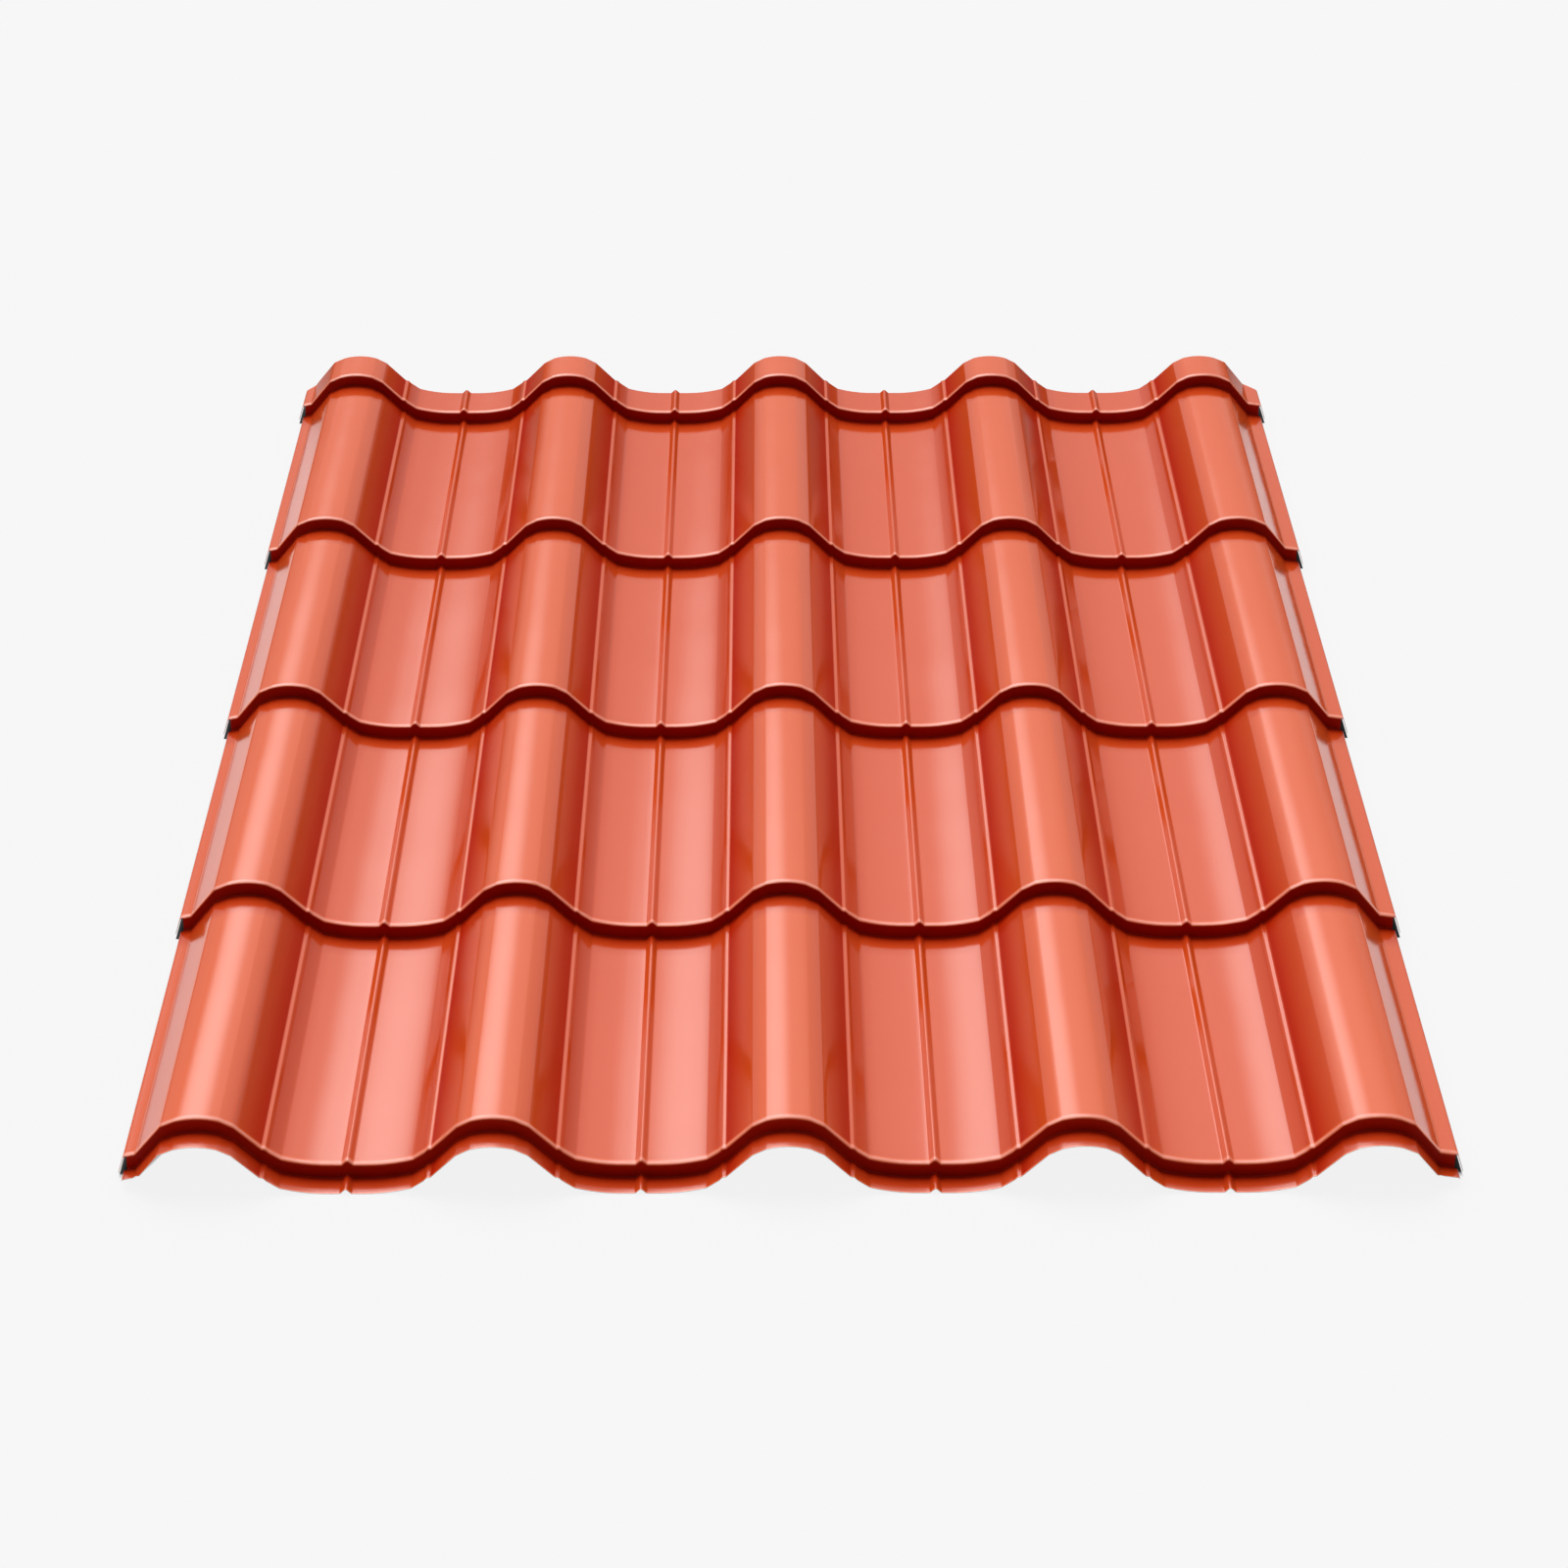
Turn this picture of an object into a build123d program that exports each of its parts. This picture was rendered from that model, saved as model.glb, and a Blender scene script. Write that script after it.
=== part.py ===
"""Tile effect roofing sheet: one steel sheet, formed into waves and pressed into tile courses.

Millimetres. X runs across the waves, Y up the roof from the eave end, Z up. The sheet lies flat on
its front strip and the feet of its risers. The origin is on the floor under its middle.
"""
import os

from build123d import *

os.makedirs("parts", exist_ok=True)

sheet_thickness = 0.5

# Waves, drawn from the middle of a crest: distances across the sheet, heights above the pans
crest_count = 5
wave_pitch = 233.0
crest_height = 45.0
crease_distance = 17.5
crease_height = 42.5
flank_top_distance = 28.5
flank_top_height = 36.7
bead_top_distance = 51.0
bead_top_height = 14.4
bead_foot_distance = 54.5
bead_foot_height = 12.3
pan_edge_distance = 64.5
pan_edge_height = 5.3
pan_flat_width = 28.0

# Stiffening rib along the middle of each pan, with sides at 45 degrees
rib_height = 3.8
rib_top_radius = 2.0

# Outer side of the two outermost crests, with the flange and the turned-down lip
outer_flank_top_distance = 29.0
outer_flank_top_height = 37.4
outer_flank_foot_distance = 51.0
outer_flank_foot_height = 10.4
outer_flank_radius = 3.0
left_flange_edge_distance = 60.5
right_flange_edge_distance = 65.5
flange_edge_height = 8.2
lip_bend_radius = 2.5
lip_depth = 17.0
lip_spread = 5.4

# Courses, up the roof, between a level strip at the eave end and a strip at the ridge end
course_count = 4
course_length = 350.0
step_height = 13.0
front_strip_length = 21.0
front_strip_lip_width = 1.0
front_notch_width = 14.0
front_notch_length = 7.5
front_corner_radius = 3.0
back_strip_length = 55.0
back_corner_length = 17.0

# The solid forms that the sheet is cut out of reach this far below the pans
form_depth = 30.0

riser_count = course_count + 1
sheet_length = front_strip_length + course_count * course_length + back_strip_length
front_y = -sheet_length / 2
eave_riser_y = front_y + front_strip_length
eave_pan_top = step_height + sheet_thickness
course_slide = Vector(0, course_length, -step_height)
flange_edge_x = (left_flange_edge_distance + wave_pitch * (crest_count - 1) + right_flange_edge_distance) / 2
left_crest_x = left_flange_edge_distance - flange_edge_x
front_edge_x = flange_edge_x + front_strip_lip_width
lip_edge_x = flange_edge_x + lip_spread
lip_bottom = eave_pan_top + flange_edge_height - lip_depth
lip_zone_width = 2 * (lip_spread + lip_bend_radius)

# Half a wave, from the middle of a crest to the middle of the next pan, solid below
with BuildSketch() as half_wave:
    with BuildLine():
        pan_middle = wave_pitch / 2
        pan_flat_start = pan_middle - pan_flat_width / 2
        rib_shoulder = Vector(pan_middle, rib_height) - Vector(1, 2**0.5 - 1) * rib_top_radius * 0.5**0.5
        rib_foot = rib_shoulder - Vector(1, 1) * rib_shoulder.Y
        TangentArc((0, crest_height), (crease_distance, crease_height), tangent=(1, 0))
        facets = Polyline(
            (crease_distance, crease_height),
            (flank_top_distance, flank_top_height),
            (bead_top_distance, bead_top_height),
            (bead_foot_distance, bead_foot_height),
            (pan_edge_distance, pan_edge_height),
        )
        pan = TangentArc((pan_flat_start, 0), facets @ 1, tangent=(-1, 0))
        rib = Polyline(pan @ 0, rib_foot, rib_shoulder)
        TangentArc((pan_middle, rib_height), rib @ 1, tangent=(-1, 0))
        Polyline((pan_middle, rib_height), (pan_middle, -form_depth), (0, -form_depth), (0, crest_height))
    make_face()


def edge_wave(flange_edge_distance):
    """Section from the middle of an outermost crest to the lip, solid below."""
    with BuildSketch() as wave:
        with BuildLine():
            lip_slant = lip_spread / lip_depth
            edge = FilletPolyline(
                (crease_distance, crease_height),
                (outer_flank_top_distance, outer_flank_top_height),
                (outer_flank_foot_distance, outer_flank_foot_height),
                (flange_edge_distance, flange_edge_height),
                (flange_edge_distance + lip_slant * (flange_edge_height + form_depth), -form_depth),
                radius=(outer_flank_radius, outer_flank_radius, lip_bend_radius),
            )
            TangentArc((0, crest_height), edge @ 0, tangent=(1, 0))
            Polyline(edge @ 1, (0, -form_depth), (0, crest_height))
        make_face()
    return wave.sketch


# The whole cross-section, under the sheet's painted side and under its back
with BuildSketch() as painted_section:
    for crest in range(crest_count):
        right_half = half_wave.sketch if crest < crest_count - 1 else edge_wave(right_flange_edge_distance)
        left_half = half_wave.sketch if crest > 0 else edge_wave(left_flange_edge_distance)
        with Locations((left_crest_x + crest * wave_pitch, 0)):
            add(right_half)
            add(mirror(left_half, about=Plane.YZ))

with BuildSketch() as back_section:
    add(painted_section.sketch)
    offset(amount=-sheet_thickness)

# The part of the back's section that lies inside the lips
with BuildSketch() as lip_section:
    add(back_section.sketch)
    Rectangle(2 * (flange_edge_x - lip_bend_radius), 4 * crest_height, mode=Mode.SUBTRACT)


def section_plane(place):
    """Plane across the sheet, drawn as seen from the eave end."""
    return Plane(place, x_dir=(1, 0, 0), z_dir=(0, -1, 0))


def course_start(course, setback=0):
    """Middle of a course's riser, or a point set back from it along the course."""
    riser = Vector(0, eave_riser_y + course * course_length, eave_pan_top)
    return riser + course_slide * (setback / course_length)


def stepped_form(section, setback):
    """The level front strip and all the courses as one solid, run on beyond both ends."""
    with BuildPart() as form:
        with BuildSketch(section_plane((0, front_y - front_strip_length, sheet_thickness))):
            add(section.sketch)
        extrude(amount=2 * front_strip_length + setback, dir=(0, 1, 0))
        for course in range(riser_count):
            with BuildSketch(section_plane(course_start(course, setback))):
                add(section.sketch)
        extrude(amount=course_slide.length, dir=course_slide)
    return form.part


# The blank's outline seen from above, raised under the lips to their straight lower edges
with BuildPart() as blank:
    with BuildSketch() as outline:
        with Locations((0, front_y)):
            Rectangle(2 * front_edge_x, sheet_length, align=(Align.CENTER, Align.MIN))
        with Locations((front_edge_x, front_y), (-front_edge_x, front_y)):
            Rectangle(2 * front_notch_width, 2 * front_notch_length, mode=Mode.SUBTRACT)
        front_corners = outline.vertices().filter_by(lambda corner: corner.Y < eave_riser_y)
        fillet(front_corners, radius=front_corner_radius)
        with Locations((0, eave_riser_y)):
            Rectangle(2 * lip_edge_x, sheet_length - front_strip_length, align=(Align.CENTER, Align.MIN))
        chamfer(outline.vertices().group_by(Axis.Y)[-1], length=back_corner_length)
    extrude(amount=eave_pan_top + 2 * crest_height)
    with Locations((lip_edge_x, 0), (-lip_edge_x, 0)):
        Box(
            lip_zone_width,
            sheet_length,
            lip_bottom,
            align=(Align.CENTER, Align.CENTER, Align.MIN),
            mode=Mode.SUBTRACT,
        )

with BuildPart() as roofing_sheet:
    add(stepped_form(painted_section, 0))
    add(blank.part, mode=Mode.INTERSECT)
    add(stepped_form(back_section, sheet_thickness), mode=Mode.SUBTRACT)

    # The lips stay open where a course steps down
    for riser in range(riser_count):
        with BuildSketch(section_plane(course_start(riser))):
            add(lip_section.sketch)
    through_riser = course_slide * (sheet_thickness / course_length)
    extrude(amount=through_riser.length, dir=through_riser, mode=Mode.SUBTRACT)

roofing_sheet.part.label = "roofing_sheet"
export_step(roofing_sheet.part, "parts/roofing_sheet.step")
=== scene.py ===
import math
from typing import NamedTuple

import bpy
import numpy as np
from mathutils import Matrix, Vector


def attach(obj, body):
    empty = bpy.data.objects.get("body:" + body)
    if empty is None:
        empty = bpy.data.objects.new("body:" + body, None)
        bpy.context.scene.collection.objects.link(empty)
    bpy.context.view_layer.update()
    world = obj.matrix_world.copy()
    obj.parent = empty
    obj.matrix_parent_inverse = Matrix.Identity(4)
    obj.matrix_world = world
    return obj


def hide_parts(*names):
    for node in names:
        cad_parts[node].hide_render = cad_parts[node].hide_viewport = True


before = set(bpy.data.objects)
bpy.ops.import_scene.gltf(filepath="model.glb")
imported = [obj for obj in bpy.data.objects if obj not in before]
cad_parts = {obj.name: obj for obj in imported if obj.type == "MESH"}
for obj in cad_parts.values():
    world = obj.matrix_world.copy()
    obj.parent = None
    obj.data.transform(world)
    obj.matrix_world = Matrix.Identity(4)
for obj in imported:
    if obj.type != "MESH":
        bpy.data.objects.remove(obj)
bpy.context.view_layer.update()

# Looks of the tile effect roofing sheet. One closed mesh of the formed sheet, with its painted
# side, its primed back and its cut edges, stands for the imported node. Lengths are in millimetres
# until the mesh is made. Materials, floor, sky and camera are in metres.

MM = 0.001

# The sheet's section, in millimetres across from the middle of a crest and up from the pans
CREST_COUNT = 5
WAVE_PITCH = 233.0
CREST_HEIGHT = 45.0
CREASE = (17.5, 42.5)
FLANK_TOP = (28.5, 36.7)
BEAD = ((49.3, 15.6), (52.2, 15.2), (54.8, 12.2))
PAN_EDGE = (64.5, 5.3)
PAN_FLAT_WIDTH = 28.0
RIB_HEIGHT = 3.8
RIB_TOP_RADIUS = 2.0
OUTER_FLANK_TOP = (29.0, 37.4)
OUTER_FLANK_FOOT = (51.0, 10.4)
OUTER_FLANK_RADIUS = 3.0
LEFT_FLANGE_EDGE = (60.5, 8.2)
RIGHT_FLANGE_EDGE = (65.5, 8.2)
LIP_BEND_RADIUS = 2.5
LIP_DEPTH = 17.0
LIP_SPREAD = 5.4
SHEET_THICKNESS = 0.5

# The drawn sheet is this much thinner, so that rounding doesn't sink its back into the floor
BACK_CLEARANCE = 0.002

# Courses up the roof, and the corners of the blank, with the notches on the left and the right
COURSE_COUNT = 4
COURSE_LENGTH = 350.0
STEP_HEIGHT = 13.0
FRONT_STRIP_LENGTH = 21.0
FRONT_STRIP_LIP_WIDTH = 1.0
FRONT_NOTCH_WIDTHS = (14.0, 18.0)
FRONT_NOTCH_LENGTH = 7.5
FRONT_CORNER_RADIUS = 3.0
BACK_STRIP_LENGTH = 55.0
BACK_CORNER_LENGTH = 17.0

# Folds of the risers, and how far rolling softens the creases along the sheet
NOSE_RADIUS = 1.5
SHOULDER_RADIUS = 8.0
SHOULDER_LEAN = math.radians(25.0)
FOOT_RADIUS = 1.2
CREASE_SOFTNESS = 0.6

# Painted shade and highlight of the paint: 0 is the plain colour, 1 the deepest painted shade,
# and -1 the pale painted highlight. Painted shade from the middle of a crest to the middle of a
# pan, and the share of it on the two outer sides:
PAINTED_SHADE_PLACES = (0.0, 20.0, 48.5, 49.6, 52.0, 53.5, 64.0, 72.0)
PAINTED_SHADES = (0.0, 0.0, 0.95, 0.3, 0.25, 0.55, 0.40, 0.26)
OUTER_SIDE_SHARE = 0.35

# Painted shade from the foot of a riser down the course in front of it:
SHADE_PLACES = (0.0, 8.0, 20.0, 32.0)
SHADE_DEPTHS = (0.95, 0.65, 0.4, 0.0)

# Painted highlight from a riser's face over its nose, and how far it reaches from the front edge:
PAINTED_HIGHLIGHT_PLACES = (0.0, 0.9, 2.7, 6.5)
PAINTED_HIGHLIGHTS = (0.0, 0.5, 1.0, 0.0)
EDGE_HIGHLIGHT_WIDTH = 2.0

# Fineness of the mesh across the sheet, and its rows up the folds, strips and courses
LINE_STEP = 0.2
FLAT_STEP = 14.0
CORNER_STEP = 1.0
TURN_STEP = math.radians(7.5)
NOSE_STEPS = 4
FOOT_STEPS = 5
STRIP_STOPS = (0.0, EDGE_HIGHLIGHT_WIDTH, 12.0)
SHADE_STOPS = [COURSE_LENGTH - FOOT_RADIUS - place for place in SHADE_PLACES[:0:-1]]
COURSE_STOPS = (PAINTED_HIGHLIGHT_PLACES[-1], 35.0, COURSE_LENGTH / 2, *SHADE_STOPS)
BACK_STOPS = (PAINTED_HIGHLIGHT_PLACES[-1], BACK_STRIP_LENGTH / 2, BACK_STRIP_LENGTH)

# The mesh's materials, in the order of its slots
PAINTED, PRIMED, CUT = range(3)

# Colours of the paint and its slight mottling, its painted shade and painted highlight, the primer
# on the back, and the sheared edge
PAINT_COLOURS = ((0.625, 0.084, 0.012, 1), (0.650, 0.092, 0.015, 1))
PAINTED_SHADE_COLOUR = (0.37, 0.008, 0.001, 1)
PAINTED_HIGHLIGHT_COLOUR = (0.76, 0.23, 0.15, 1)
PRIMER_COLOURS = ((0.085, 0.078, 0.074, 1), (0.13, 0.12, 0.112, 1))
STEEL_COLOURS = ((0.36, 0.345, 0.335, 1), (0.54, 0.52, 0.51, 1))
WHITE = (1, 1, 1, 1)

# Floor: its level as the background, the share of that level that is shown beside the object's
# shadow, and its own colour in the open and, as painted shadow, in the openings of the lips
FLOOR_SIZE = 40
FLOOR_LEVEL = 0.926
FLOOR_GLOW = 0.94
FLOOR_PALE = 0.765
FLOOR_PAINTED_SHADOW = 0.08

# How far up the roof the pale floor is seen under the front arches and under the flanges, and
# where, out from the sheet's middle, it passes from the one to the other and into the painted
# shadow under the lips
UNDER_ARCHES = 0.073
UNDER_FLANGES = 0.024
FLANGE_ZONE = (0.49, 0.525)
LIP_ZONE = (0.5, 0.52)

# Camera, worked out from the photo: place in the row frame, angles, and focal length in pixels
PHOTO_WIDTH = 1600
CAMERA_PLACE = (-0.0232, -3.1982, 1.8288)
CAMERA_YAW = math.radians(0.384)
CAMERA_PITCH = math.radians(30.568)
CAMERA_ROLL = math.radians(-0.136)
FOCAL_PIXELS = 3937.7

# What follows from the sizes above
FLANGE_EDGE_X = (LEFT_FLANGE_EDGE[0] + WAVE_PITCH * (CREST_COUNT - 1) + RIGHT_FLANGE_EDGE[0]) / 2
LEFT_CREST_X = LEFT_FLANGE_EDGE[0] - FLANGE_EDGE_X
BEND_START_X = FLANGE_EDGE_X - LIP_BEND_RADIUS
FRONT_EDGE_X = FLANGE_EDGE_X + FRONT_STRIP_LIP_WIDTH
LIP_EDGE_X = FLANGE_EDGE_X + LIP_SPREAD
BACK_Y = (FRONT_STRIP_LENGTH + COURSE_COUNT * COURSE_LENGTH + BACK_STRIP_LENGTH) / 2
FRONT_Y = -BACK_Y
EAVE_RISER_Y = FRONT_Y + FRONT_STRIP_LENGTH
RISERS = [EAVE_RISER_Y + course * COURSE_LENGTH for course in range(COURSE_COUNT + 1)]
EAVE_PAN_TOP = STEP_HEIGHT + SHEET_THICKNESS
LIP_BOTTOM = EAVE_PAN_TOP + LEFT_FLANGE_EDGE[1] - LIP_DEPTH
LIP_SLANT = LIP_SPREAD / LIP_DEPTH
COURSE_SLOPE = STEP_HEIGHT / COURSE_LENGTH


class Row(NamedTuple):
    """A row of mesh points: its place up the roof, the pans' height, and the sheet's direction."""

    y: float
    height: float
    along: float
    rise: float
    in_riser: bool


def arc(start, tangent, end, steps=24):
    """Points of the arc that leaves start along tangent and ends at end."""
    start, tangent, end = (np.array(v, float) for v in (start, tangent, end))
    tangent /= np.linalg.norm(tangent)
    normal = np.array([-tangent[1], tangent[0]])
    chord = end - start
    radius = chord @ chord / (2 * chord @ normal)
    sweep = 2 * math.atan2(chord @ normal, chord @ tangent)
    angles = np.linspace(0, sweep, steps + 1)
    return [start + radius * (np.sin(a) * tangent + (1 - np.cos(a)) * normal) for a in angles]


def rounded_corner(before, corner, after, radius, steps=10):
    """Points of the arc that rounds a corner between two straight runs."""
    before, corner, after = (np.array(v, float) for v in (before, corner, after))
    u = (before - corner) / np.linalg.norm(before - corner)
    w = (after - corner) / np.linalg.norm(after - corner)
    reach = radius / math.tan(math.acos(u @ w) / 2)
    return arc(corner + reach * u, -u, corner + reach * w, steps)


def half_wave():
    """Section from the middle of a crest to the middle of the next pan."""
    middle = WAVE_PITCH / 2
    flat_start = middle - PAN_FLAT_WIDTH / 2
    lean = RIB_TOP_RADIUS * math.sqrt(0.5)
    shoulder = (middle - lean, RIB_HEIGHT - RIB_TOP_RADIUS + lean)
    rib_foot = (shoulder[0] - shoulder[1], 0)
    points = arc((0, CREST_HEIGHT), (1, 0), CREASE)
    points += [FLANK_TOP, *BEAD]
    points += arc((flat_start, 0), (-1, 0), PAN_EDGE)[::-1]
    points += [rib_foot]
    points += arc((middle, RIB_HEIGHT), (-1, 0), shoulder)[::-1]
    return np.array(points)


def edge_wave(flange_edge):
    """Section from the middle of an outermost crest to the foot of its lip."""
    lip_end = np.add(flange_edge, (LIP_SPREAD, -LIP_DEPTH))
    points = arc((0, CREST_HEIGHT), (1, 0), CREASE)
    points += rounded_corner(CREASE, OUTER_FLANK_TOP, OUTER_FLANK_FOOT, OUTER_FLANK_RADIUS)
    points += rounded_corner(OUTER_FLANK_TOP, OUTER_FLANK_FOOT, flange_edge, OUTER_FLANK_RADIUS)
    points += rounded_corner(OUTER_FLANK_FOOT, flange_edge, lip_end, LIP_BEND_RADIUS)
    return np.array(points + [lip_end])


def joined(runs):
    """One line through all the runs, without the points that two of them share."""
    points = np.vstack(runs)
    gaps = np.linalg.norm(np.diff(points, axis=0), axis=1)
    return points[np.r_[True, gaps > 1e-6]]


def softened(points):
    """The line in small even steps, with its creases rounded as rolling leaves them."""
    lengths = np.r_[0, np.cumsum(np.linalg.norm(np.diff(points, axis=0), axis=1))]
    places = np.linspace(0, lengths[-1], int(lengths[-1] / LINE_STEP) + 1)
    reach = int(4 * CREASE_SOFTNESS / LINE_STEP)
    weights = np.exp(-0.5 * (np.arange(-reach, reach + 1) * LINE_STEP / CREASE_SOFTNESS) ** 2)
    columns = []
    for i in (0, 1):
        even = np.interp(places, lengths, points[:, i])
        before = 2 * even[0] - even[reach:0:-1]
        after = 2 * even[-1] - even[-2:-reach - 2:-1]
        padded = np.r_[before, even, after]
        columns.append(np.convolve(padded, weights / weights.sum(), "valid"))
    return np.stack(columns, axis=1)


def whole_line():
    """The painted side's section in fine steps, from the foot of one lip to the other."""
    half = half_wave()
    right, left = edge_wave(RIGHT_FLANGE_EDGE), edge_wave(LEFT_FLANGE_EDGE)
    runs = []
    for crest in range(CREST_COUNT):
        middle = (LEFT_CREST_X + crest * WAVE_PITCH, 0)
        runs.append(middle + (half if crest > 0 else left)[::-1] * (-1, 1))
        runs.append(middle + (half if crest < CREST_COUNT - 1 else right))
    return softened(joined(runs))


def into_notch(x):
    """How far across a place lies inside the front notch on its side of the sheet."""
    return np.abs(x) - FRONT_EDGE_X + np.where(x < 0, *FRONT_NOTCH_WIDTHS)


def section():
    """Points and directions of the mesh's columns, and the columns where the lips bend down."""
    fine = whole_line()
    x = fine[:, 0]
    runs = np.gradient(fine, axis=0)
    runs /= np.linalg.norm(runs, axis=1)[:, None]

    # Columns lie closer where the line turns and where the front edge is notched or rounded
    turn = np.abs(np.gradient(np.unwrap(np.arctan2(runs[:, 1], runs[:, 0]))))
    at_corner = np.abs(into_notch(x)) < FRONT_CORNER_RADIUS + 1
    at_corner |= np.abs(x) > FRONT_EDGE_X - FRONT_CORNER_RADIUS
    need = np.cumsum(LINE_STEP / np.where(at_corner, CORNER_STEP, FLAT_STEP) + turn / TURN_STEP)
    steps = np.arange(len(fine))

    marks = [np.argmax(x > limit) for limit in (-FRONT_EDGE_X, -BEND_START_X, BEND_START_X)]
    marks += [len(fine) - 1 - np.argmax(x[::-1] < FRONT_EDGE_X)]
    picks, ends = [], []
    for a, b in zip(marks[:-1], marks[1:]):
        places = np.linspace(need[a], need[b], int(need[b] - need[a]) + 2)
        picks = picks[:-1] + list(np.interp(places, need, steps))
        ends.append(len(picks) - 1)
    line, directions = (
        np.stack([np.interp(picks, steps, values[:, i]) for i in (0, 1)], axis=1)
        for values in (fine, runs)
    )
    return line, directions, ends[0], ends[1]


def foot(y, fall):
    """Rows along the fold at the foot of a riser, where the sheet turns up."""
    reach = math.tan(fall) + 1 / math.cos(fall)
    height = SHEET_THICKNESS + FOOT_RADIUS * reach
    rows = []
    for a in np.linspace(-fall, math.pi / 2, FOOT_STEPS + 1):
        along, rise = math.cos(a), math.sin(a)
        place = y - FOOT_RADIUS * (1 - rise)
        rows.append(Row(place, height - FOOT_RADIUS * along, along, rise, True))
    return rows


def nose(y, fall):
    """Rows over the nose of a riser: a tight bend and then a wide shoulder."""
    bend = np.linspace(math.pi / 2, SHOULDER_LEAN, NOSE_STEPS + 1)
    shoulder = np.linspace(SHOULDER_LEAN, -fall, NOSE_STEPS + 1)
    angles = np.r_[bend, shoulder[1:]]
    radii = np.repeat((NOSE_RADIUS, SHOULDER_RADIUS), NOSE_STEPS)
    back = np.r_[0, np.cumsum(radii * -np.diff(np.sin(angles)))]
    up = np.r_[0, np.cumsum(radii * np.diff(np.cos(angles)))]
    start = EAVE_PAN_TOP - COURSE_SLOPE * back[-1] - up[-1]
    return [
        Row(y + d, start + h, math.cos(a), math.sin(a), a >= SHOULDER_LEAN)
        for d, h, a in zip(back, up, angles)
    ]


def courses():
    """All the rows, from the front edge to the back edge."""
    slope = math.atan(COURSE_SLOPE)
    rows = [Row(FRONT_Y + d, SHEET_THICKNESS, 1.0, 0.0, False) for d in STRIP_STOPS]
    for y in RISERS:
        rows += foot(y, slope if y > EAVE_RISER_Y else 0.0) + nose(y, slope)
        for d in COURSE_STOPS if y < RISERS[-1] else BACK_STOPS:
            height = EAVE_PAN_TOP - COURSE_SLOPE * d
            rows.append(Row(y + d, height, math.cos(slope), -math.sin(slope), False))
    return rows


def front_edge(x):
    """Where the blank's front edge is, with its notched and rounded corners."""
    reach = np.clip(into_notch(x) / FRONT_CORNER_RADIUS, -1, 1)
    notch = FRONT_NOTCH_LENGTH * (0.5 + 0.75 * reach - 0.25 * reach**3)
    corner = np.clip(np.abs(x) - FRONT_EDGE_X + FRONT_CORNER_RADIUS, 0, FRONT_CORNER_RADIUS)
    return FRONT_Y + notch + FRONT_CORNER_RADIUS - np.sqrt(FRONT_CORNER_RADIUS**2 - corner**2)


def back_edge(x):
    """Where the blank's back edge is, with its cut corners."""
    return BACK_Y - np.clip(np.abs(x) - LIP_EDGE_X + BACK_CORNER_LENGTH, 0, None)


def row_line(rows, i, strip_rows, x):
    """Place and pan height along a row: the end rows are drawn out to the blank's edges."""
    y, height = rows[i].y, rows[i].height
    if i < strip_rows:
        edge, end = front_edge(x), rows[strip_rows - 1].y
        return edge + (y - FRONT_Y) * (end - edge) / (end - FRONT_Y), height
    if i >= len(rows) - 2:
        start = rows[-3].y
        place = start + (y - start) * (back_edge(x) - start) / (BACK_Y - start)
        return place, height + COURSE_SLOPE * (y - place)
    return np.full(len(x), y), height


def painted_shade_across(x):
    """Painted shade across the sheet, from how far each place is from the middle of its crest."""
    from_crest = np.abs((x - LEFT_CREST_X + WAVE_PITCH / 2) % WAVE_PITCH - WAVE_PITCH / 2)
    outer = (x < LEFT_CREST_X) | (x > LEFT_CREST_X + WAVE_PITCH * (CREST_COUNT - 1))
    return np.interp(from_crest, PAINTED_SHADE_PLACES, PAINTED_SHADES) * np.where(outer, OUTER_SIDE_SHARE, 1.0)


def painted_shade_and_highlight_along(row, across):
    """Painted shade before and on a riser; painted highlight on its nose and the front edge."""
    to_riser = min((riser - row.y for riser in RISERS if riser >= row.y), default=COURSE_LENGTH)
    from_riser = min((row.y - riser for riser in RISERS if riser <= row.y), default=COURSE_LENGTH)
    shade = max(np.interp(to_riser - FOOT_RADIUS, SHADE_PLACES, SHADE_DEPTHS), row.rise)
    painted_highlight = max(np.interp(from_riser, PAINTED_HIGHLIGHT_PLACES, PAINTED_HIGHLIGHTS), 1 - (row.y - FRONT_Y) / EDGE_HIGHLIGHT_WIDTH)
    return (1 - painted_highlight) * np.maximum(across, shade) - painted_highlight


def painted_side():
    """Points, outward directions, painted shade and highlight, row by row, and the drawn faces."""
    line, directions, first, last = section()
    (x, z), (run_x, run_z) = line.T, directions.T
    rows = courses()
    in_riser = np.array([row.in_riser for row in rows])
    strip_rows = int(np.argmax(in_riser)) + 1
    across = painted_shade_across(x)
    points, normals, painted_shadings = [], [], []
    for i, row in enumerate(rows):
        place, height = row_line(rows, i, strip_rows, x)
        points.append(np.column_stack([x, place, z + height]))
        normals.append(np.column_stack([-run_z * row.along, -run_x * row.rise, run_x * row.along]))
        painted_shadings.append(painted_shade_and_highlight_along(row, across))
    points, normals, painted_shadings = np.array(points), np.array(normals), np.array(painted_shadings)
    normals /= np.linalg.norm(normals, axis=2)[:, :, None]

    # The lips stay open where a course steps down
    drawn = np.ones((len(rows) - 1, len(x) - 1), bool)
    columns = np.arange(len(x) - 1)
    drawn[np.ix_(in_riser[:-1] & in_riser[1:], (columns < first) | (columns >= last))] = False
    return points, normals, painted_shadings, drawn, strip_rows


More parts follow.
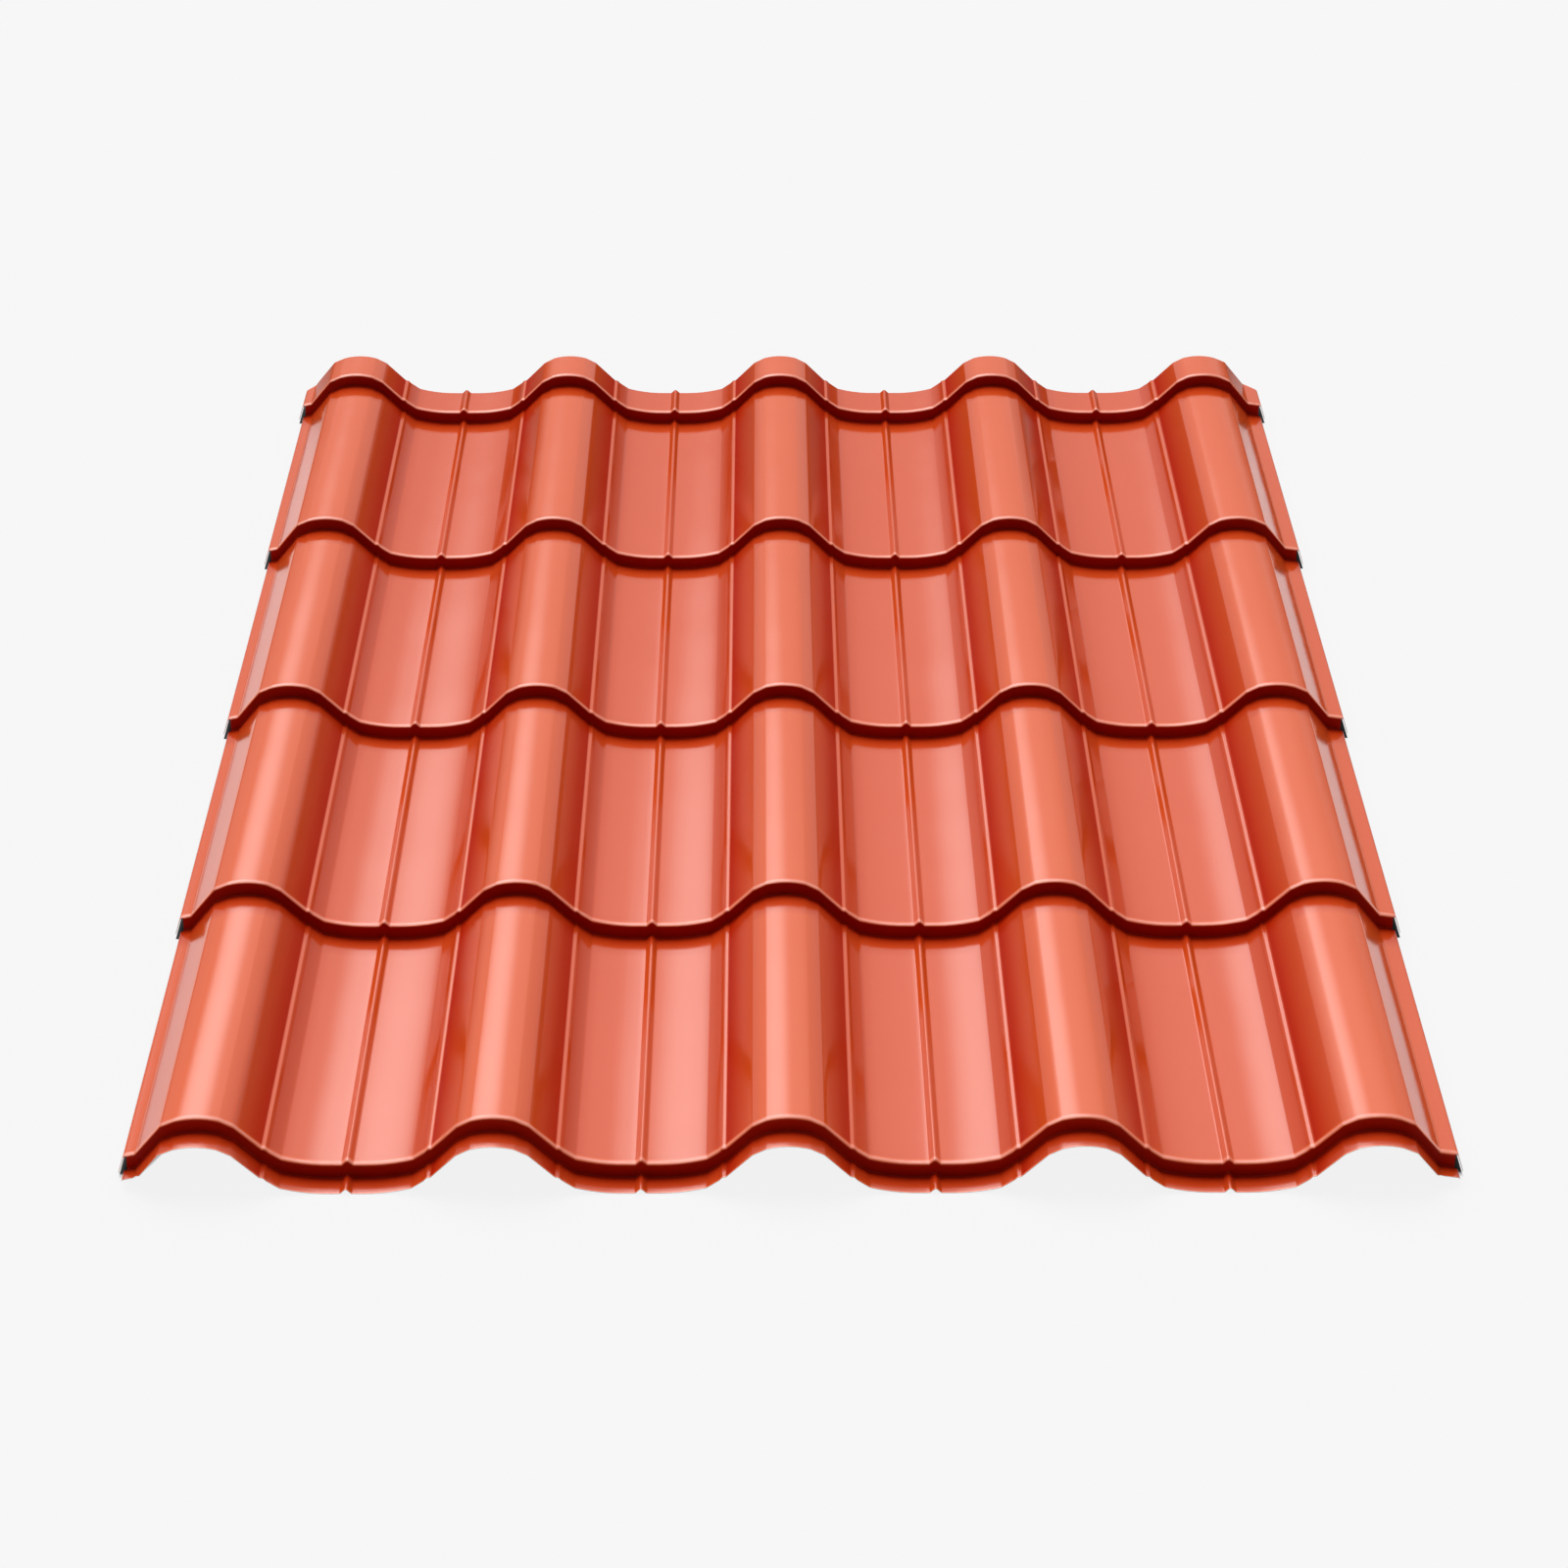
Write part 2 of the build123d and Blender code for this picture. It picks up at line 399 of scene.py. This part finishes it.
def with_lips(points, normals, painted_shadings, drawn, strip_rows):
    """The rows with a straight run down to the foot of each lip, except along the front strip."""
    feet = []
    for end in (0, -1):
        lip_foot = points[:, end].copy()
        lip_foot[:, 0] += np.sign(lip_foot[:, 0]) * LIP_SLANT * (lip_foot[:, 2] - LIP_BOTTOM)
        lip_foot[:, 2] = LIP_BOTTOM
        feet.append(lip_foot[:, None])
    points = np.concatenate([feet[0], points, feet[1]], axis=1)
    normals, painted_shadings = (
        np.concatenate([values[:, :1], values, values[:, -1:]], axis=1)
        for values in (normals, painted_shadings)
    )
    lips = drawn[:, :1].copy()
    lips[:strip_rows] = False
    return points, normals, painted_shadings, np.concatenate([lips, drawn, lips], axis=1)


def sheet_faces(drawn):
    """Faces of both sides and the cut edges between them, with the material of each."""
    across = drawn.shape[1] + 1
    total = (drawn.shape[0] + 1) * across
    faces, materials, open_edges = [], [], {}
    for r, c in zip(*np.nonzero(drawn)):
        a = int(r * across + c)
        face = (a, a + 1, a + across + 1, a + across)
        faces += [face, tuple(total + v for v in face[::-1])]
        materials += [PAINTED, PRIMED]
        for start, end in zip(face, face[1:] + face[:1]):
            if open_edges.pop((end, start), None) is None:
                open_edges[(start, end)] = True
    for start, end in open_edges:
        faces.append((end, start, total + start, total + end))
        materials.append(CUT)
    return faces, materials


def sheet_mesh():
    """Both sides of the sheet and its cut edges, shaded by the directions of the formed line."""
    points, normals, painted_shadings, drawn = with_lips(*painted_side())
    front, outward = points.reshape(-1, 3), normals.reshape(-1, 3)
    back = front - outward * (SHEET_THICKNESS - BACK_CLEARANCE)
    faces, materials = sheet_faces(drawn)
    used, corners = np.unique(np.array(faces), return_inverse=True)
    vertices = np.vstack([front, back])[used] * MM
    mesh = bpy.data.meshes.new("formed_sheet")
    mesh.from_pydata(vertices.tolist(), [], corners.reshape(-1, 4).tolist())
    mesh.polygons.foreach_set("material_index", materials)
    # The painted shade and highlight go to the paint as an attribute of the mesh
    painted_shading = mesh.attributes.new("painted_shade_and_highlight", "FLOAT", "POINT")
    painted_shading.data.foreach_set("value", np.tile(painted_shadings.ravel(), 2)[used])
    loops = np.empty(len(mesh.loops), int)
    mesh.loops.foreach_get("vertex_index", loops)
    shading = np.vstack([outward, -outward])[used][loops]
    for polygon in mesh.polygons:
        if polygon.material_index == CUT:
            shading[list(polygon.loop_indices)] = polygon.normal
    mesh.shade_smooth()
    mesh.normals_split_custom_set(shading.tolist())
    return mesh


def new_material(name):
    """A material, its node tree and its shader."""
    material = bpy.data.materials.new(name)
    material.use_nodes = True
    return material, material.node_tree, material.node_tree.nodes["Principled BSDF"]


def feed(tree, socket, value):
    """Links another node's output to a socket, or sets the socket to a plain value."""
    if isinstance(value, bpy.types.NodeSocket):
        tree.links.new(value, socket)
    else:
        socket.default_value = value


def ramp(tree, source, at, values):
    """A smooth passage from the first of two values to the second between two source levels."""
    rise = tree.nodes.new("ShaderNodeMapRange")
    rise.interpolation_type = "SMOOTHSTEP"
    names = ("Value", "From Min", "From Max", "To Min", "To Max")
    for name, value in zip(names, (source, *at, *values)):
        feed(tree, rise.inputs[name], value)
    return rise.outputs["Result"]


def worked_out(tree, operation, *terms):
    """A sum on other nodes' outputs and plain numbers."""
    step = tree.nodes.new("ShaderNodeMath")
    step.operation = operation
    for socket, term in zip(step.inputs, terms):
        feed(tree, socket, term)
    return step.outputs[0]


def noise(tree, place, scale, detail):
    texture = tree.nodes.new("ShaderNodeTexNoise")
    for name, value in (("Vector", place), ("Scale", scale), ("Detail", detail)):
        feed(tree, texture.inputs[name], value)
    return texture.outputs["Fac"]


def stretched(tree, place, scale):
    mapping = tree.nodes.new("ShaderNodeMapping")
    feed(tree, mapping.inputs["Vector"], place)
    feed(tree, mapping.inputs["Scale"], scale)
    return mapping.outputs["Vector"]


def blended(tree, factor, colour_a, colour_b):
    mix = tree.nodes.new("ShaderNodeMix")
    mix.data_type = "RGBA"
    for name, value in (("Factor", factor), ("A", colour_a), ("B", colour_b)):
        feed(tree, mix.inputs[name], value)
    return mix.outputs["Result"]


def bump(tree, height, distance, under=None):
    relief = tree.nodes.new("ShaderNodeBump")
    feed(tree, relief.inputs["Height"], height)
    feed(tree, relief.inputs["Distance"], distance)
    if under is not None:
        feed(tree, relief.inputs["Normal"], under)
    return relief.outputs["Normal"]


def object_place(tree):
    return tree.nodes.new("ShaderNodeTexCoord").outputs["Object"]


def paint():
    """Satin terracotta paint with painted shade in the folds and a painted highlight on the edges.
    """
    material, tree, shader = new_material("terracotta_paint")
    place = object_place(tree)
    attribute = tree.nodes.new("ShaderNodeAttribute")
    attribute.attribute_name = "painted_shade_and_highlight"
    painted_shading = attribute.outputs["Fac"]

    mottled = blended(tree, noise(tree, place, scale=9.0, detail=4.0), *PAINT_COLOURS)
    # Painted shade deepens the colour, and a painted highlight, broken into patches, pales it
    with_painted_shade = blended(tree, painted_shading, mottled, PAINTED_SHADE_COLOUR)
    painted_highlight = ramp(tree, painted_shading, at=(-1.0, 0.0), values=(1.0, 0.0))
    patches = noise(tree, place, scale=90.0, detail=3.0)
    patchy = ramp(tree, patches, at=(0.3, 0.6), values=(0.7, 1.0))
    with_painted_highlight = blended(tree, worked_out(tree, "MULTIPLY", painted_highlight, patchy), with_painted_shade, PAINTED_HIGHLIGHT_COLOUR)
    feed(tree, shader.inputs["Base Color"], with_painted_highlight)

    # Less sheen and rougher where the painted shade lies
    gloss = ramp(tree, painted_shading, at=(0.15, 0.85), values=(0.5, 0.05))
    feed(tree, shader.inputs["Specular IOR Level"], gloss)
    uneven = noise(tree, place, scale=60.0, detail=3.0)
    satin = ramp(tree, uneven, at=(0.3, 0.7), values=(0.10, 0.13))
    duller = ramp(tree, painted_shading, at=(0.3, 0.9), values=(0.0, 0.12))
    feed(tree, shader.inputs["Roughness"], worked_out(tree, "ADD", satin, duller))

    wave = bump(tree, noise(tree, place, scale=7.0, detail=1.0), distance=0.0006)
    peel = bump(tree, noise(tree, place, scale=450.0, detail=2.0), distance=0.00001, under=wave)
    feed(tree, shader.inputs["Normal"], peel)
    shader.inputs["IOR"].default_value = 1.5
    return material


def primer():
    """Thin dark backing coat, a little uneven, with faint roller marks along the coil."""
    material, tree, shader = new_material("primer_back")
    place = object_place(tree)
    marks = noise(tree, stretched(tree, place, (40.0, 1.5, 40.0)), scale=6.0, detail=3.0)
    dull = ramp(tree, noise(tree, place, scale=80.0, detail=3.0), at=(0.3, 0.7), values=(0.5, 0.7))
    grain = bump(tree, noise(tree, place, scale=500.0, detail=2.0), distance=0.00001)
    feed(tree, shader.inputs["Base Color"], blended(tree, marks, *PRIMER_COLOURS))
    feed(tree, shader.inputs["Roughness"], dull)
    feed(tree, shader.inputs["Normal"], grain)
    shader.inputs["Specular IOR Level"].default_value = 0.2
    return material


def cut_edge():
    """Sheared steel, brighter where the shear broke it and dimmer where zinc is smeared over."""
    material, tree, shader = new_material("cut_steel_edge")
    place = object_place(tree)
    grain = noise(tree, place, scale=350.0, detail=4.0)
    burr = bump(tree, noise(tree, place, scale=1200.0, detail=2.0), distance=0.00002)
    feed(tree, shader.inputs["Base Color"], blended(tree, grain, *STEEL_COLOURS))
    feed(tree, shader.inputs["Roughness"], ramp(tree, grain, at=(0.3, 0.7), values=(0.55, 0.35)))
    feed(tree, shader.inputs["Normal"], burr)
    shader.inputs["Metallic"].default_value = 1.0
    return material


def formed_sheet():
    """The one piece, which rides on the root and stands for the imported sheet."""
    piece = bpy.data.objects.new("formed_sheet", sheet_mesh())
    bpy.context.collection.objects.link(piece)
    for material in (paint(), primer(), cut_edge()):
        piece.data.materials.append(material)
    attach(piece, "root")
    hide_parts("roofing_sheet")


def mirrored_share(tree, rays):
    """1 for a ray that was mirrored or has passed through glass, and 0 for any other."""
    outputs = rays.outputs
    return worked_out(tree, "MAXIMUM", outputs["Is Glossy Ray"], outputs["Is Transmission Ray"])


def outside_sheet(tree, breadth, y):
    """FLOOR_GLOW where the floor lies beside the sheet, before it or behind it, and 0 elsewhere."""
    # A course comes down as it goes up the roof, so the level foot of its lip stands further in
    course = worked_out(
        tree, "MULTIPLY_ADD", y, 1 / (COURSE_LENGTH * MM), -EAVE_RISER_Y / COURSE_LENGTH
    )
    up_course = worked_out(tree, "FRACT", course)
    narrowing = worked_out(tree, "MULTIPLY", up_course, LIP_SLANT * STEP_HEIGHT * MM)
    past_lip = worked_out(tree, "ADD", breadth, narrowing)
    foot_x, back_y = LIP_EDGE_X * MM, BACK_Y * MM
    beside = ramp(tree, past_lip, at=(foot_x - 0.0003, foot_x + 0.0002), values=(0.0, FLOOR_GLOW))
    reaches = (back_y - UNDER_ARCHES, back_y - UNDER_FLANGES)
    past_front = worked_out(tree, "ADD", y, ramp(tree, breadth, at=FLANGE_ZONE, values=reaches))
    before = ramp(tree, past_front, at=(-0.005, 0.005), values=(FLOOR_GLOW, 0.0))
    behind = ramp(tree, y, at=(back_y - 0.005, back_y), values=(0.0, FLOOR_GLOW))
    return worked_out(tree, "MAXIMUM", beside, worked_out(tree, "MAXIMUM", before, behind))


def studio_floor():
    """A pale floor that keeps the object's shadow, with painted shadow in the openings of the lips.

    Seen or mirrored, it glows at its own level around the object. The mirrored glow fades behind
    the sheet, where the photo's reflections are dark.
    """
    bpy.ops.mesh.primitive_plane_add(size=FLOOR_SIZE, location=(0, 0, 0))
    floor = bpy.context.object
    floor.name = "studio_floor"
    material, tree, shader = new_material("pale_floor")
    rays = tree.nodes.new("ShaderNodeLightPath")
    seen = rays.outputs["Is Camera Ray"]
    split = tree.nodes.new("ShaderNodeSeparateXYZ")
    feed(tree, split.inputs[0], tree.nodes.new("ShaderNodeNewGeometry").outputs["Position"])
    x, y, _ = split.outputs
    breadth = worked_out(tree, "ABSOLUTE", x)
    outside = outside_sheet(tree, breadth, y)

    mirrored_level = ramp(tree, y, at=(0.6, 1.0), values=(FLOOR_LEVEL, 0.05))
    seen_level = ramp(tree, seen, at=(0, 1), values=(0.0, FLOOR_LEVEL))
    glow = tree.nodes.new("ShaderNodeEmission")
    glow.inputs["Color"].default_value = WHITE
    strength = worked_out(tree, "MAXIMUM", mirrored_level, seen_level)
    feed(tree, glow.inputs["Strength"], strength)

    # Painted shadow: the floor's colour is dark beneath the sheet's lips
    painted_shadow_under_sheet = ramp(tree, outside, at=(0.0, 0.3), values=(FLOOR_PAINTED_SHADOW, FLOOR_PALE))
    painted_shadow_at_lips = ramp(tree, breadth, at=LIP_ZONE, values=(FLOOR_PALE, FLOOR_PAINTED_SHADOW))
    colour = worked_out(tree, "MAXIMUM", painted_shadow_under_sheet, painted_shadow_at_lips)
    feed(tree, shader.inputs["Base Color"], colour)
    shader.inputs["Roughness"].default_value = 1.0
    shader.inputs["Specular IOR Level"].default_value = 0.0

    mix = tree.nodes.new("ShaderNodeMixShader")
    share = worked_out(tree, "MAXIMUM", seen, mirrored_share(tree, rays))
    feed(tree, mix.inputs["Fac"], worked_out(tree, "MULTIPLY", share, outside))
    feed(tree, mix.inputs[1], shader.outputs[0])
    feed(tree, mix.inputs[2], glow.outputs[0])
    feed(tree, tree.nodes["Material Output"].inputs["Surface"], mix.outputs[0])
    floor.data.materials.append(material)


def patch_of_light(tree, direction, centre, edge, strength):
    """A round soft patch in the sky around a centre."""
    nearness = tree.nodes.new("ShaderNodeVectorMath")
    nearness.operation = "DOT_PRODUCT"
    feed(tree, nearness.inputs[0], direction)
    feed(tree, nearness.inputs[1], Vector(centre).normalized())
    return ramp(tree, nearness.outputs["Value"], at=edge, values=(0.0, strength))


def sky_light(tree, direction, y, z):
    """Strength of the studio's light: bands behind, a dim fill before, and two soft patches."""
    behind = ramp(tree, y, at=(-0.05, 0.35), values=(0.0, 1.0))
    low = ramp(tree, z, at=(0.06, 0.2), values=(0.0, 0.7))
    high = ramp(tree, z, at=(0.3, 0.6), values=(0.0, 1.0))
    bands = worked_out(tree, "MULTIPLY", behind, worked_out(tree, "ADD", low, high))
    camera_side = ramp(tree, y, at=(-0.3, 0.1), values=(1.0, 0.0))
    above_floor = ramp(tree, z, at=(0.05, 0.5), values=(0.0, 0.12))
    light = worked_out(tree, "ADD", bands, worked_out(tree, "MULTIPLY", camera_side, above_floor))
    overhead = patch_of_light(
        tree, direction, centre=(-0.26, 0.42, 0.87), edge=(0.80, 0.98), strength=3.15
    )
    window = patch_of_light(
        tree, direction, centre=(-0.219, 0.79, 0.574), edge=(0.955, 0.996), strength=2.3
    )
    return worked_out(tree, "ADD", worked_out(tree, "ADD", light, overhead), window)


def studio_light():
    """A studio that is bright behind and above the sheet, before a plain pale background.

    Mirrored rays show that background on the camera's side alone.
    """
    world = bpy.data.worlds.new("studio")
    bpy.context.scene.world = world
    world.use_nodes = True
    tree = world.node_tree
    direction = tree.nodes.new("ShaderNodeTexCoord").outputs["Generated"]
    split = tree.nodes.new("ShaderNodeSeparateXYZ")
    feed(tree, split.inputs[0], direction)
    _, y, z = split.outputs
    light, pale = tree.nodes["Background"], tree.nodes.new("ShaderNodeBackground")
    for background, strength in ((light, sky_light(tree, direction, y, z)), (pale, FLOOR_LEVEL)):
        feed(tree, background.inputs["Color"], WHITE)
        feed(tree, background.inputs["Strength"], strength)

    rays = tree.nodes.new("ShaderNodeLightPath")
    camera_side = ramp(tree, y, at=(-0.3, -0.1), values=(1.0, 0.0))
    mirrored = worked_out(tree, "MULTIPLY", mirrored_share(tree, rays), camera_side)
    share = worked_out(tree, "MAXIMUM", rays.outputs["Is Camera Ray"], mirrored)
    mix = tree.nodes.new("ShaderNodeMixShader")
    feed(tree, mix.inputs["Fac"], share)
    feed(tree, mix.inputs[1], light.outputs[0])
    feed(tree, mix.inputs[2], pale.outputs[0])
    feed(tree, tree.nodes["World Output"].inputs["Surface"], mix.outputs[0])


def camera():
    """The photo's own viewpoint, worked out from the sheet's edges and folds."""
    data = bpy.data.cameras.new("camera")
    data.sensor_width = 36.0
    data.lens = FOCAL_PIXELS / PHOTO_WIDTH * data.sensor_width
    data.clip_end = 100
    eye = bpy.data.objects.new("camera", data)
    bpy.context.collection.objects.link(eye)
    forward = Vector((
        math.sin(CAMERA_YAW) * math.cos(CAMERA_PITCH),
        math.cos(CAMERA_YAW) * math.cos(CAMERA_PITCH),
        -math.sin(CAMERA_PITCH),
    ))
    level = Vector((math.cos(CAMERA_YAW), -math.sin(CAMERA_YAW), 0))
    down = forward.cross(level)
    right = math.cos(CAMERA_ROLL) * level + math.sin(CAMERA_ROLL) * down
    up = math.sin(CAMERA_ROLL) * level - math.cos(CAMERA_ROLL) * down
    turned = Matrix((right, up, -forward)).transposed().to_4x4()
    eye.matrix_world = Matrix.Translation(CAMERA_PLACE) @ turned
    bpy.context.scene.camera = eye


formed_sheet()
studio_floor()
studio_light()
camera()
bpy.context.scene.view_settings.view_transform = "Standard"
